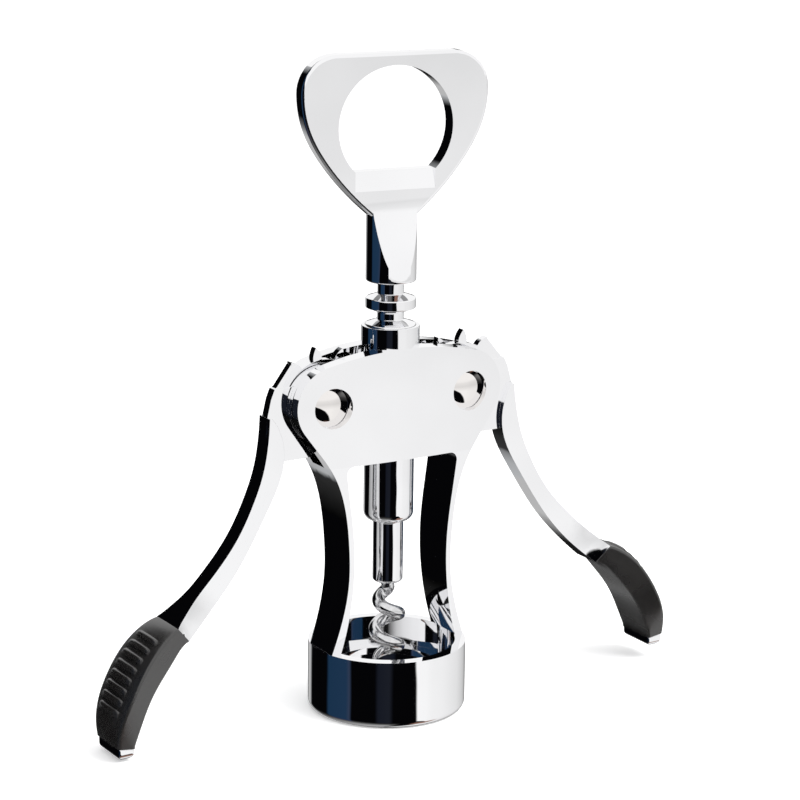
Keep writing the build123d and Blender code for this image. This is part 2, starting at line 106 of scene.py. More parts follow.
class CorkscrewChrome(bpy.types.PropertyGroup):
    tone: FloatVectorProperty(
        name="Chrome tone", description="Colour of the plated castings", subtype="COLOR",
        size=3, min=0, max=1, default=(0.93, 0.93, 0.94),
    )
    warm_tone: FloatVectorProperty(
        name="Cap tone", description="Colour of the pin caps' plating", subtype="COLOR",
        size=3, min=0, max=1, default=(0.9, 0.87, 0.85),
    )
    roughness: FloatProperty(
        name="Roughness", description="Blur of the reflections", min=0, max=1, default=0.03,
    )
    waviness: FloatProperty(
        name="Waviness", description="Slow unevenness of the polished surface", min=0, max=1, default=0.12,
    )
    steel_tone: FloatVectorProperty(
        name="Steel tone", description="Colour of the spindle and the pins", subtype="COLOR",
        size=3, min=0, max=1, default=(0.62, 0.62, 0.63),
    )
    wire_tone: FloatVectorProperty(
        name="Wire tone", description="Colour of the worm's wire", subtype="COLOR",
        size=3, min=0, max=1, default=(0.8, 0.8, 0.81),
    )


class CorkscrewGrip(bpy.types.PropertyGroup):
    tone: FloatVectorProperty(
        name="Grip tone", description="Colour of the moulded grips", subtype="COLOR",
        size=3, min=0, max=1, default=(0.0115, 0.0108, 0.0104),
    )
    rib_count: IntProperty(name="Ribs", description="Cross ribs on each grip", min=0, max=20, default=8)
    rib_pitch: FloatProperty(
        name="Rib pitch", description="Distance from rib to rib", unit="LENGTH", min=0, default=2.7 * MM,
    )
    first_rib: FloatProperty(
        name="First rib", description="Distance from the joint to the first rib", unit="LENGTH", min=0,
        default=6.0 * MM,
    )
    grain: FloatProperty(name="Grain", description="Depth of the moulded grain", min=0, max=1, default=0.05)


class CorkscrewShape(bpy.types.PropertyGroup):
    casting_round: FloatProperty(
        name="Casting edges", description="Edge rounding of the castings", unit="LENGTH",
        min=0, default=0.35 * MM,
    )
    lever_round: FloatProperty(
        name="Lever edges", description="Edge rounding of the levers", unit="LENGTH",
        min=0, default=0.25 * MM,
    )
    tip_round: FloatProperty(
        name="Tip edges", description="Edge rounding of the levers' end caps", unit="LENGTH",
        min=0.1 * MM, default=0.5 * MM,
    )
    shaft_round: FloatProperty(
        name="Shaft edges", description="Edge rounding of the rack's ring teeth", unit="LENGTH",
        min=0, default=0.18 * MM,
    )
    sleeve_round: FloatProperty(
        name="Sleeve edges", description="Edge rounding of the worm's sleeve", unit="LENGTH",
        min=0, default=0.2 * MM,
    )
    grip_round: FloatProperty(
        name="Grip edges", description="Edge rounding of the moulded grips", unit="LENGTH",
        min=0, default=0.3 * MM,
    )
    worm_pitch: FloatProperty(
        name="Worm pitch", description="Height of one turn of the worm", unit="LENGTH", min=0.001,
        default=8.2 * MM,
    )
    cap_dome: FloatProperty(
        name="Cap dome", description="Height of the pin caps' dome", unit="LENGTH", min=0, default=0.95 * MM,
    )


class CorkscrewStage(bpy.types.PropertyGroup):
    key_power: FloatProperty(
        name="Key light", description="Power of the large soft light", unit="POWER", min=0, default=9.0,
    )
    fill: FloatProperty(name="Fill", description="Even light from all around", min=0, max=2, default=0.85)


# ---------------------------------------------------------------- material building blocks

def new_material(name):
    """A material with its node tree and its shader."""
    material = bpy.data.materials.new(name)
    material.use_nodes = True
    tree = material.node_tree
    shader = tree.nodes["Principled BSDF"]
    return material, tree, shader


def object_noise(tree, scale, detail=2.0, roughness=0.5):
    """Noise fixed to the piece; scale is in features per metre."""
    place = tree.nodes.new("ShaderNodeTexCoord")
    noise = tree.nodes.new("ShaderNodeTexNoise")
    noise.inputs["Scale"].default_value = scale
    noise.inputs["Detail"].default_value = detail
    noise.inputs["Roughness"].default_value = roughness
    tree.links.new(place.outputs["Object"], noise.inputs["Vector"])
    return noise


def spread(tree, noise, low, high):
    """A value that runs from low to high over the middle range, where most of the noise lies."""
    span = tree.nodes.new("ShaderNodeMapRange")
    span.inputs["From Min"].default_value = 0.3
    span.inputs["From Max"].default_value = 0.7
    span.inputs["To Min"].default_value = low
    span.inputs["To Max"].default_value = high
    tree.links.new(noise, span.inputs["Value"])
    return span.outputs["Result"]


def add_bump(tree, shader, height, strength, distance):
    """Small relief in the surface, at most as deep as the distance."""
    bump = tree.nodes.new("ShaderNodeBump")
    bump.inputs["Strength"].default_value = strength
    bump.inputs["Distance"].default_value = distance
    tree.links.new(height, bump.inputs["Height"])
    tree.links.new(bump.outputs["Normal"], shader.inputs["Normal"])


def mixed_colour(tree, factor, first, second):
    """A colour that runs from the first to the second with the factor."""
    mix = tree.nodes.new("ShaderNodeMix")
    mix.data_type = "RGBA"
    mix.inputs["A"].default_value = (*first, 1)
    mix.inputs["B"].default_value = (*second, 1)
    tree.links.new(factor, mix.inputs["Factor"])
    return mix.outputs["Result"]


def chrome_plating(name, tone, look, wave_scale=55):
    """Bright plating: faint slow waves of the casting below, and fine wiping haze."""
    haze_scale = 900
    wave_depth = 1.2 * MM
    material, tree, shader = new_material(name)
    shader.inputs["Metallic"].default_value = 1
    haze = object_noise(tree, haze_scale, detail=4, roughness=0.6)
    waves = object_noise(tree, wave_scale, detail=1, roughness=0.4)
    darker = [0.965 * channel for channel in tone]
    colour = mixed_colour(tree, spread(tree, waves.outputs["Fac"], 0, 1), tone, darker)
    tree.links.new(colour, shader.inputs["Base Color"])
    blur = spread(tree, haze.outputs["Fac"], look.roughness * 0.6, look.roughness * 1.5)
    tree.links.new(blur, shader.inputs["Roughness"])
    add_bump(tree, shader, waves.outputs["Fac"], look.waviness, wave_depth)
    return material


def turned_steel(name, tone):
    """Plain steel with fine rings around the Z axis from drawing or turning."""
    ring_scale = 900
    ring_depth = 0.05 * MM
    material, tree, shader = new_material(name)
    shader.inputs["Metallic"].default_value = 1
    rings = tree.nodes.new("ShaderNodeTexWave")
    rings.bands_direction = "Z"
    rings.inputs["Scale"].default_value = ring_scale
    rings.inputs["Distortion"].default_value = 2
    rings.inputs["Detail"].default_value = 2
    place = tree.nodes.new("ShaderNodeTexCoord")
    tree.links.new(place.outputs["Object"], rings.inputs["Vector"])
    darker = [0.8 * channel for channel in tone]
    tree.links.new(mixed_colour(tree, rings.outputs["Fac"], tone, darker), shader.inputs["Base Color"])
    tree.links.new(spread(tree, rings.outputs["Fac"], 0.22, 0.34), shader.inputs["Roughness"])
    add_bump(tree, shader, rings.outputs["Fac"], 0.1, ring_depth)
    return material


def drawn_wire(name, tone):
    """Bright round wire with faint streaks and cloudy polish."""
    cloud_scale = 500
    cloud_depth = 0.05 * MM
    material, tree, shader = new_material(name)
    shader.inputs["Metallic"].default_value = 1
    clouds = object_noise(tree, cloud_scale, detail=3, roughness=0.6)
    darker = [0.85 * channel for channel in tone]
    polish = spread(tree, clouds.outputs["Fac"], 0, 1)
    tree.links.new(mixed_colour(tree, polish, tone, darker), shader.inputs["Base Color"])
    tree.links.new(spread(tree, clouds.outputs["Fac"], 0.1, 0.2), shader.inputs["Roughness"])
    add_bump(tree, shader, clouds.outputs["Fac"], 0.08, cloud_depth)
    return material


def moulded_plastic(name, tone, grain):
    """Satin black plastic with a fine moulded grain."""
    speckle_scale = 1800
    patch_scale = 90
    grain_depth = 0.08 * MM
    material, tree, shader = new_material(name)
    speckle = object_noise(tree, speckle_scale, detail=3, roughness=0.6)
    patches = object_noise(tree, patch_scale, detail=2, roughness=0.5)
    lighter = [min(1, 1.7 * channel) for channel in tone]
    colour = mixed_colour(tree, spread(tree, patches.outputs["Fac"], 0, 1), tone, lighter)
    tree.links.new(colour, shader.inputs["Base Color"])
    shader.inputs["Specular IOR Level"].default_value = 1
    tree.links.new(spread(tree, patches.outputs["Fac"], 0.22, 0.32), shader.inputs["Roughness"])
    add_bump(tree, shader, speckle.outputs["Fac"], grain, grain_depth)
    return material


# ---------------------------------------------------------------- mesh building blocks

def link_piece(mesh, name, material, body, slot, *nodes):
    """Puts a finished mesh in the scene in place of its solids."""
    mesh.materials.clear()
    mesh.materials.append(material)
    piece = bpy.data.objects.new(name, mesh)
    bpy.context.scene.collection.objects.link(piece)
    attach(piece, body)
    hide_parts(*nodes)


def recoat(node, material):
    """Gives a solid that keeps its own mesh a better material."""
    mesh = frame["nodes"][node].data
    mesh.materials.clear()
    mesh.materials.append(material)


def settled(holder):
    """The evaluated mesh of an object with live modifiers; the object is removed."""
    bpy.context.view_layer.update()
    depsgraph = bpy.context.evaluated_depsgraph_get()
    mesh = bpy.data.meshes.new_from_object(holder.evaluated_get(depsgraph))
    bpy.data.objects.remove(holder)
    return mesh


def merged_copy(node, flatness=None):
    """A copy of a solid's mesh with its triangles joined, and its flat faces made whole where asked."""
    mesh = frame["nodes"][node].data.copy()
    work = bmesh.new()
    work.from_mesh(mesh)
    bmesh.ops.remove_doubles(work, verts=work.verts, dist=MERGE_DISTANCE)
    if flatness is not None:
        bmesh.ops.dissolve_limit(
            work, angle_limit=radians(flatness), verts=work.verts, edges=work.edges, delimit={"NORMAL"}
        )
    work.to_mesh(mesh)
    work.free()
    return mesh


def rounded_copy(node, edge_round, sharp=32, flatness=0.5):
    """A solid's mesh with the edges sharper than the given degrees rounded and the rest shaded smooth."""
    mesh = merged_copy(node, flatness)
    mesh.shade_smooth()
    mesh.set_sharp_from_angle(angle=radians(sharp))
    holder = bpy.data.objects.new(node + "_rounding", mesh)
    bpy.context.scene.collection.objects.link(holder)
    bevel = holder.modifiers.new("Rounding", "BEVEL")
    bevel.width = edge_round
    bevel.segments = 3
    bevel.limit_method = "ANGLE"
    bevel.angle_limit = radians(sharp)
    bevel.use_clamp_overlap = True
    even = holder.modifiers.new("Even faces", "WEIGHTED_NORMAL")
    even.mode = "FACE_AREA_WITH_ANGLE"
    even.weight = 80
    even.keep_sharp = True
    return settled(holder)


def softened_copy(node, edge_round):
    """A small solid's mesh rebuilt from fine even faces and smoothed, so that all its edges are round."""
    holder = bpy.data.objects.new(node + "_softening", merged_copy(node))
    bpy.context.scene.collection.objects.link(holder)
    rebuilt = holder.modifiers.new("Even faces", "REMESH")
    rebuilt.mode = "VOXEL"
    rebuilt.voxel_size = edge_round / 4
    worn = holder.modifiers.new("Soft edges", "SMOOTH")
    worn.factor = 0.5
    worn.iterations = 16
    mesh = settled(holder)
    mesh.shade_smooth()
    return mesh


def lathe(profile, segments=128):
    """Closed round mesh about the Y axis from (radius, distance) points that start and end on the axis."""
    work = bmesh.new()
    rings = []
    for radius, height in profile:
        turns = [2 * pi * i / segments for i in range(segments)] if radius > 0 else [0]
        rings.append([work.verts.new((radius * cos(turn), radius * sin(turn), height)) for turn in turns])
    for lower, upper in zip(rings, rings[1:]):
        for i in range(segments):
            j = (i + 1) % segments
            if len(lower) == 1:
                work.faces.new((lower[0], upper[j], upper[i]))
            elif len(upper) == 1:
                work.faces.new((lower[i], lower[j], upper[0]))
            else:
                work.faces.new((lower[i], lower[j], upper[j], upper[i]))
    bmesh.ops.recalc_face_normals(work, faces=work.faces)
    work.transform(Matrix.Rotation(radians(90), 4, "X"))
    mesh = bpy.data.meshes.new("lathe")
    work.to_mesh(mesh)
    work.free()
    mesh.shade_smooth()
    mesh.set_sharp_from_angle(angle=radians(40))
    return mesh


# ---------------------------------------------------------------- node trees that make shapes

def node_tree(name, sizes):
    """Geometry tree with a geometry input, the named sizes with their defaults, and a geometry output."""
    tree = bpy.data.node_groups.new(name, "GeometryNodeTree")
    tree.interface.new_socket("Geometry", in_out="INPUT", socket_type="NodeSocketGeometry")
    for label, kind, value in sizes:
        socket = tree.interface.new_socket(label, in_out="INPUT", socket_type="NodeSocket" + kind)
        if value is not None:
            socket.default_value = value
    tree.interface.new_socket("Geometry", in_out="OUTPUT", socket_type="NodeSocketGeometry")
    return tree, tree.nodes.new("NodeGroupInput"), tree.nodes.new("NodeGroupOutput")


def add_node(tree, kind, settings=None, **inputs):
    """A node with its settings, and its inputs linked or set by name (underscores stand for spaces)."""
    node = tree.nodes.new(kind)
    for setting, value in (settings or {}).items():
        setattr(node, setting, value)
    for label, value in inputs.items():
        feed(tree, node.inputs[label.replace("_", " ")], value)
    return node


def feed(tree, socket, value):
    """Links another node's output to the socket, or sets the socket's own value."""
    if isinstance(value, bpy.types.NodeSocket):
        tree.links.new(value, socket)
    else:
        socket.default_value = value


def calculate(tree, operation, *values):
    """The result of one sum with other nodes' outputs or plain numbers."""
    node = tree.nodes.new("ShaderNodeMath")
    node.operation = operation
    for socket, value in zip(node.inputs, values):
        feed(tree, socket, value)
    return node.outputs[0]


def grown(name, seed_mesh, tree, values):
    """The mesh that a geometry tree makes from a seed mesh with the given input values."""
    holder = bpy.data.objects.new(name, seed_mesh)
    bpy.context.scene.collection.objects.link(holder)
    growth = holder.modifiers.new(name, "NODES")
    growth.node_group = tree
    for item in tree.interface.items_tree:
        if item.in_out == "INPUT" and item.name in values:
            growth[item.identifier] = values[item.name]
    return settled(holder)


def tube_of(tree, curve, radius, sides=16):
    """A closed tube around a curve, scaled by the curve's own radius."""
    ring = add_node(tree, "GeometryNodeCurvePrimitiveCircle", Resolution=sides, Radius=radius)
    own_radius = add_node(tree, "GeometryNodeInputRadius")
    tube = add_node(
        tree, "GeometryNodeCurveToMesh", Curve=curve, Profile_Curve=ring.outputs["Curve"],
        Scale=own_radius.outputs["Radius"], Fill_Caps=True,
    )
    return tube.outputs["Mesh"]


def finished(tree, mesh, material, output):
    """Smooth shading, real geometry and the material, at the end of a tree."""
    real = add_node(tree, "GeometryNodeRealizeInstances", Geometry=mesh)
    smooth = add_node(tree, "GeometryNodeSetShadeSmooth", Geometry=real.outputs["Geometry"])
    coated = add_node(tree, "GeometryNodeSetMaterial", Geometry=smooth.outputs["Geometry"], Material=material)
    tree.links.new(coated.outputs["Geometry"], output.inputs["Geometry"])


def rib_stations(tree, sizes):
    """Evenly spaced points along the guide line, one for each rib, in either direction."""
    line = add_node(tree, "GeometryNodeMeshToCurve", Mesh=sizes["Geometry"])
    smooth = add_node(
        tree, "GeometryNodeCurveSplineType", {"spline_type": "CATMULL_ROM"}, Curve=line.outputs["Curve"]
    )
    gaps = calculate(tree, "SUBTRACT", sizes["Ribs"], 1)
    last = calculate(tree, "MULTIPLY_ADD", gaps, sizes["Pitch"], sizes["First rib"])
    ribbed = add_node(tree, "GeometryNodeTrimCurve", {"mode": "LENGTH"}, Curve=smooth.outputs["Curve"])
    # The node has two inputs each called Start and End; the second pair takes lengths.
    lengths = {socket.identifier: socket for socket in ribbed.inputs}
    feed(tree, lengths["Start_001"], sizes["First rib"])
    feed(tree, lengths["End_001"], last)
    stations = add_node(
        tree, "GeometryNodeResampleCurve", Curve=ribbed.outputs["Curve"], Count=sizes["Ribs"]
    )
    turned_round = add_node(tree, "GeometryNodeReverseCurve", Curve=stations.outputs["Curve"])
    chosen = add_node(
        tree, "GeometryNodeSwitch", {"input_type": "GEOMETRY"}, Switch=sizes["Reverse"],
        **{"False": stations.outputs["Curve"], "True": turned_round.outputs["Curve"]},
    )
    return chosen.outputs["Output"]


def rib_bar(tree, sizes):
    """One rib along Y: a bowed bar with rounded ends, sunk into the face below it."""
    sunk = calculate(tree, "MULTIPLY", sizes["Sunk"], -1)
    end_height = calculate(tree, "MULTIPLY_ADD", sizes["Drop"], -1, sunk)
    mid_height = calculate(tree, "SUBTRACT", sizes["Drop"], sizes["Sunk"])
    near_side = calculate(tree, "MULTIPLY", sizes["Half length"], -1)
    start = add_node(tree, "ShaderNodeCombineXYZ", Y=near_side, Z=end_height)
    middle = add_node(tree, "ShaderNodeCombineXYZ", Z=mid_height)
    end = add_node(tree, "ShaderNodeCombineXYZ", Y=sizes["Half length"], Z=end_height)
    bow = add_node(
        tree, "GeometryNodeCurveQuadraticBezier", Resolution=28, Start=start.outputs[0],
        Middle=middle.outputs[0], End=end.outputs[0],
    )
    along = add_node(tree, "GeometryNodeSplineParameter").outputs["Factor"]
    from_middle = calculate(tree, "ABSOLUTE", calculate(tree, "MULTIPLY_ADD", along, 2, -1))
    fall = calculate(tree, "SUBTRACT", 1, calculate(tree, "POWER", from_middle, 8))
    thinning = calculate(tree, "SQRT", calculate(tree, "MAXIMUM", fall, 0.01))
    shaped = add_node(tree, "GeometryNodeSetCurveRadius", Curve=bow.outputs["Curve"], Radius=thinning)
    return tube_of(tree, shaped.outputs["Curve"], sizes["Radius"])


def rib_tree():
    """Rounded cross ribs at an even pitch along a guide line; each follows the crowned face across it."""
    tree, given, output = node_tree("Cross ribs", [
        ("Ribs", "Int", 8), ("Pitch", "Float", 2.7 * MM), ("First rib", "Float", 6 * MM),
        ("Half length", "Float", 5.1 * MM), ("Radius", "Float", 0.85 * MM), ("Drop", "Float", 0.42 * MM),
        ("Sunk", "Float", 0.25 * MM), ("Reverse", "Bool", False), ("Material", "Material", None),
    ])
    sizes = given.outputs
    tangent = add_node(tree, "GeometryNodeInputTangent")
    facing = add_node(
        tree, "FunctionNodeAlignRotationToVector", {"axis": "X", "pivot_axis": "Y"},
        Vector=tangent.outputs["Tangent"],
    )
    bars = add_node(
        tree, "GeometryNodeInstanceOnPoints", Points=rib_stations(tree, sizes),
        Instance=rib_bar(tree, sizes), Rotation=facing.outputs["Rotation"],
    )
    finished(tree, bars.outputs["Instances"], sizes["Material"], output)
    return tree


def worm_tree():
    """Open wire helix that winds out from the axis, with a straight neck above and a sharpened end."""
    tree, given, output = node_tree("Wire worm", [
        ("Turns", "Float", 2.5), ("Pitch", "Float", 8.2 * MM), ("Coil radius", "Float", 2.9 * MM),
        ("Wire radius", "Float", 1.6 * MM), ("Top", "Float", 30.6 * MM), ("Neck", "Float", 6 * MM),
        ("Lead in", "Float", 0.6), ("Point", "Float", 0.16), ("Material", "Material", None),
    ])
    sizes = given.outputs
    straight = add_node(tree, "GeometryNodeCurvePrimitiveLine")
    stations = add_node(tree, "GeometryNodeResampleCurve", Curve=straight.outputs["Curve"], Count=240)
    along = add_node(tree, "GeometryNodeSplineParameter").outputs["Factor"]
    turns = calculate(tree, "MULTIPLY", along, sizes["Turns"])
    angle = calculate(tree, "MULTIPLY", turns, 2 * pi)
    wound = calculate(tree, "MINIMUM", calculate(tree, "DIVIDE", turns, sizes["Lead in"]), 1)
    radius = calculate(tree, "MULTIPLY", wound, sizes["Coil radius"])
    fall = calculate(tree, "MULTIPLY", turns, sizes["Pitch"])
    point = add_node(
        tree, "ShaderNodeCombineXYZ",
        X=calculate(tree, "MULTIPLY", radius, calculate(tree, "COSINE", angle)),
        Y=calculate(tree, "MULTIPLY", radius, calculate(tree, "SINE", angle)),
        Z=calculate(tree, "SUBTRACT", sizes["Top"], fall),
    )
    helix = add_node(
        tree, "GeometryNodeSetPosition", Geometry=stations.outputs["Curve"], Position=point.outputs[0]
    )
    left_over = calculate(tree, "DIVIDE", calculate(tree, "SUBTRACT", 1, along), sizes["Point"])
    taper = calculate(tree, "MAXIMUM", calculate(tree, "MINIMUM", left_over, 1), 0.12)
    sharpened = add_node(tree, "GeometryNodeSetCurveRadius", Curve=helix.outputs["Geometry"], Radius=taper)
    neck_top = add_node(
        tree, "ShaderNodeCombineXYZ", Z=calculate(tree, "ADD", sizes["Top"], sizes["Neck"])
    )
    neck_end = add_node(tree, "ShaderNodeCombineXYZ", Z=sizes["Top"])
    neck = add_node(
        tree, "GeometryNodeCurvePrimitiveLine", Start=neck_top.outputs[0], End=neck_end.outputs[0]
    )
    wire = add_node(tree, "GeometryNodeJoinGeometry")
    tree.links.new(sharpened.outputs["Curve"], wire.inputs["Geometry"])
    tree.links.new(neck.outputs["Curve"], wire.inputs["Geometry"])
    tube = tube_of(tree, wire.outputs["Geometry"], sizes["Wire radius"], sides=24)
    finished(tree, tube, sizes["Material"], output)
    return tree


# ---------------------------------------------------------------- pieces

class CorkscrewFrame(bpy.types.Operator):
    """The chromed frame casting with rounded edges"""
    bl_idname = "corkscrew.frame"
    bl_label = "Frame Casting"

    def execute(self, context):
        shape = context.scene.corkscrew_shape
        look = context.scene.corkscrew_chrome
        plating = chrome_plating("frame plating", look.tone, look)
        mesh = rounded_copy("frame", shape.casting_round)
        link_piece(mesh, "frame_casting", plating, "frame", "frame_chrome", "frame")
        return {"FINISHED"}


class CorkscrewPins(bpy.types.Operator):
    """Pivot pins and the domed caps that cover their ends"""
    bl_idname = "corkscrew.pins"
    bl_label = "Pins and Caps"

    def execute(self, context):
        look = context.scene.corkscrew_chrome
        dome = context.scene.corkscrew_shape.cap_dome
        plating = chrome_plating("cap plating", look.warm_tone, look, wave_scale=120)
        steel = turned_steel("pin steel", look.steel_tone)
        for side in ("left", "right"):
            recoat("pivot_pin_" + side, steel)
            for facing in ("front", "back"):
                self.cap(side, facing, dome, plating)
        return {"FINISHED"}

    def cap(self, side, facing, dome, plating):
        """One cover cap in its recess, domed outwards, with a hair's gap around it."""
        node = f"pin_cap_{facing}_{side}"
        low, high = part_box(node)
        radius = 0.97 * (high.x - low.x) / 2
        thickness = high.y - low.y
        foot_width = 0.98 * radius
        foot_height = 0.02 * thickness
        dome_steps = 14
        profile = [(0, 0), (foot_width, 0), (radius, foot_height), (radius, thickness - dome)]
        for i in range(1, dome_steps + 1):
            share = 1 - i / dome_steps
            profile.append((radius * share, thickness - dome * share**2))
        mesh = lathe(profile)
        seat = high.y
        if facing == "back":
            mesh.transform(Matrix.Rotation(pi, 4, "Z"))
            seat = low.y
        mesh.transform(Matrix.Translation(((low.x + high.x) / 2, seat, (low.z + high.z) / 2)))
        link_piece(mesh, f"cover_cap_{facing}_{side}", plating, "frame", "cap_chrome", node)


class CorkscrewShaft(bpy.types.Operator):
    """Rack shaft with ring teeth, and the ferrule below it"""
    bl_idname = "corkscrew.shaft"
    bl_label = "Rack Shaft"

    def execute(self, context):
        shape = context.scene.corkscrew_shape
        look = context.scene.corkscrew_chrome
        plating = chrome_plating("shaft plating", look.tone, look, wave_scale=80)
        shaft = rounded_copy("rack_shaft", shape.shaft_round, sharp=15)
        link_piece(shaft, "toothed_shaft", plating, "rack", "shaft_chrome", "rack_shaft")
        sleeve = rounded_copy("worm_ferrule", shape.sleeve_round)
        link_piece(sleeve, "worm_sleeve", plating, "spindle", "shaft_chrome", "worm_ferrule")
        return {"FINISHED"}


class CorkscrewWorm(bpy.types.Operator):
    """Steel worm, and the spindle that turns it"""
    bl_idname = "corkscrew.worm"
    bl_label = "Worm and Spindle"

    def execute(self, context):
        look = context.scene.corkscrew_chrome
        shape = context.scene.corkscrew_shape
        recoat("spindle", turned_steel("spindle steel", look.steel_tone))
        wire = drawn_wire("worm wire", look.wire_tone)
        straight_neck = 1 * MM
        tip_clearance = 0.2 * MM
        low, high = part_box("worm")
        neck_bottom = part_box("worm_ferrule")[0].z - straight_neck
        worm = grown("worm", bpy.data.meshes.new("worm_seed"), worm_tree(), {
            "Turns": (neck_bottom - low.z - tip_clearance) / shape.worm_pitch,
            "Pitch": shape.worm_pitch,
            "Top": neck_bottom,
            "Neck": high.z - neck_bottom,
            "Material": wire,
        })
        link_piece(worm, "wire_worm", wire, "spindle", "worm_steel", "worm")
        return {"FINISHED"}


class CorkscrewHandle(bpy.types.Operator):
    """Handle with the bottle opener"""
    bl_idname = "corkscrew.handle"
    bl_label = "Opener Handle"

    def execute(self, context):
        shape = context.scene.corkscrew_shape
        look = context.scene.corkscrew_chrome
        plating = chrome_plating("handle plating", look.tone, look)
        mesh = rounded_copy("opener_handle", shape.casting_round)
        link_piece(mesh, "bottle_opener", plating, "spindle", "handle_chrome", "opener_handle")
        return {"FINISHED"}


class CorkscrewLevers(bpy.types.Operator):
    """The two geared levers and their end caps"""
    bl_idname = "corkscrew.levers"
    bl_label = "Levers"

    def execute(self, context):
        shape = context.scene.corkscrew_shape
        look = context.scene.corkscrew_chrome
        plating = chrome_plating("lever plating", look.tone, look)
        for side in ("left", "right"):
            body = "lever_" + side
            arm = rounded_copy("lever_" + side, shape.lever_round)
            link_piece(arm, "geared_arm_" + side, plating, body, "lever_chrome", "lever_" + side)
            tip = softened_copy("end_cap_" + side, shape.tip_round)
            link_piece(tip, "bright_tip_" + side, plating, body, "cap_chrome", "end_cap_" + side)
        return {"FINISHED"}


class CorkscrewGrips(bpy.types.Operator):
    """Moulded plastic grips with their cross ribs"""
    bl_idname = "corkscrew.grips"
    bl_label = "Grips"

    def execute(self, context):
        shape = context.scene.corkscrew_shape
        look = context.scene.corkscrew_grip
        plastic = moulded_plastic("grip plastic", look.tone, look.grain)
        tree = rib_tree()
        for side in ("left", "right"):
            body = "lever_" + side
            sleeve = rounded_copy("grip_" + side, shape.grip_round, flatness=0.05)
            link_piece(sleeve, "moulded_grip_" + side, plastic, body, "grip_black", "grip_" + side)
            ribs = grown("ribs_" + side, self.crest(side), tree, {
                "Ribs": look.rib_count, "Pitch": look.rib_pitch, "First rib": look.first_rib,
                "Reverse": side == "left", "Material": plastic,
            })
            link_piece(ribs, "cross_ribs_" + side, plastic, body, "grip_black")
        return {"FINISHED"}

    def crest(self, side):
        """Line along the middle of the grip's outer face, from its joint down, with the lever's lean."""
        sign = -1 if side == "left" else 1
        lean = radians(LEVER_LEAN) * sign
        swing = next(joint for joint in frame["joints"] if joint["name"] == f"lever_{side}_swing")
        pivot = Vector(swing["pos_m"])
        points = []
        for i, (outer, inner) in enumerate(zip(GRIP_OUTER_SHARES, GRIP_INNER_SHARES)):
            across = (Vector(outer) - Vector(inner)).normalized()
            crown = GRIP_END_CROWN + GRIP_MIDDLE_CROWN * sin(pi * i / (len(GRIP_OUTER_SHARES) - 1))
            x, z = Vector(GRIP_JOINT) + GRIP_LENGTH * Vector(outer) + crown * across
            reach = x - abs(pivot.x)
            drop = z - pivot.z
            points.append((
                pivot.x + sign * (reach * cos(lean) - drop * sin(lean)), 0,
                pivot.z + reach * sin(lean) + drop * cos(lean),
            ))
        mesh = bpy.data.meshes.new("crest_" + side)
        mesh.from_pydata(points, [(i, i + 1) for i in range(len(points) - 1)], [])
        return mesh


# ---------------------------------------------------------------- stage

def ramp(tree, angle, stops):
    """Colour that follows an angle in degrees through (degrees, grey or colour) stops."""
    low = stops[0][0]
    high = stops[-1][0]
    span = tree.nodes.new("ShaderNodeMapRange")
    span.inputs["From Min"].default_value = low
    span.inputs["From Max"].default_value = high
    tree.links.new(angle, span.inputs["Value"])
    colours = tree.nodes.new("ShaderNodeValToRGB")
    colours.color_ramp.interpolation = "LINEAR"
    points = colours.color_ramp.elements
    while len(points) < len(stops):
        points.new(0.5)
    for point, (degrees, colour) in zip(points, stops):
        point.position = (degrees - low) / (high - low)
        point.color = (*colour, 1) if isinstance(colour, tuple) else (colour, colour, colour, 1)
    tree.links.new(span.outputs["Result"], colours.inputs["Fac"])
    return colours.outputs["Color"]


def blended(tree, way, first, second):
    """Two colours joined in full in one of the mix node's ways."""
    mix = tree.nodes.new("ShaderNodeMix")
    mix.data_type = "RGBA"
    mix.blend_type = way
    mix.inputs["Factor"].default_value = 1
    feed(tree, mix.inputs["A"], first)
    feed(tree, mix.inputs["B"], second)
    return mix.outputs["Result"]


def mixed(tree, share, first, second):
    """The first colour where the share is 0, and the second where it is 1."""
    mix = tree.nodes.new("ShaderNodeMix")
    mix.data_type = "RGBA"
    feed(tree, mix.inputs["Factor"], share)
    feed(tree, mix.inputs["A"], first)
    feed(tree, mix.inputs["B"], second)
    return mix.outputs["Result"]


def room_angles(tree):
    """A ray's azimuth from the front, positive to the right, and its elevation, both in degrees."""
    place = tree.nodes.new("ShaderNodeTexCoord")
    axes = tree.nodes.new("ShaderNodeSeparateXYZ")
    tree.links.new(place.outputs["Generated"], axes.inputs["Vector"])
    forward = calculate(tree, "MULTIPLY", axes.outputs["Y"], -1)
    turn = calculate(tree, "ARCTAN2", axes.outputs["X"], forward)
    rise = calculate(tree, "ARCSINE", axes.outputs["Z"])
    return calculate(tree, "MULTIPLY", turn, 180 / pi), calculate(tree, "MULTIPLY", rise, 180 / pi)


def bright_side(tree, azimuth, elevation):
    """White walls on the right that fade towards the back, dimmer near the horizon, and a white sky."""
    around = ramp(tree, azimuth, [
        (-180, 1), (29, 1), (40, 0.96), (60, 0.94), (95, 0.82), (118, 0.62), (134, 0.3), (147, 0.01),
        (158, 0.01), (170, 0.5), (180, 0.5),
    ])
    level = ramp(tree, elevation, [(-90, 1), (-17, 1), (-13, 0.93), (-7, 0.8), (0, 0.88), (8, 1), (90, 1)])
    above = ramp(tree, elevation, [(-90, 0), (0, 0), (5, 1), (90, 1)])
    return mixed(tree, above, blended(tree, "MULTIPLY", around, level), WHITE)


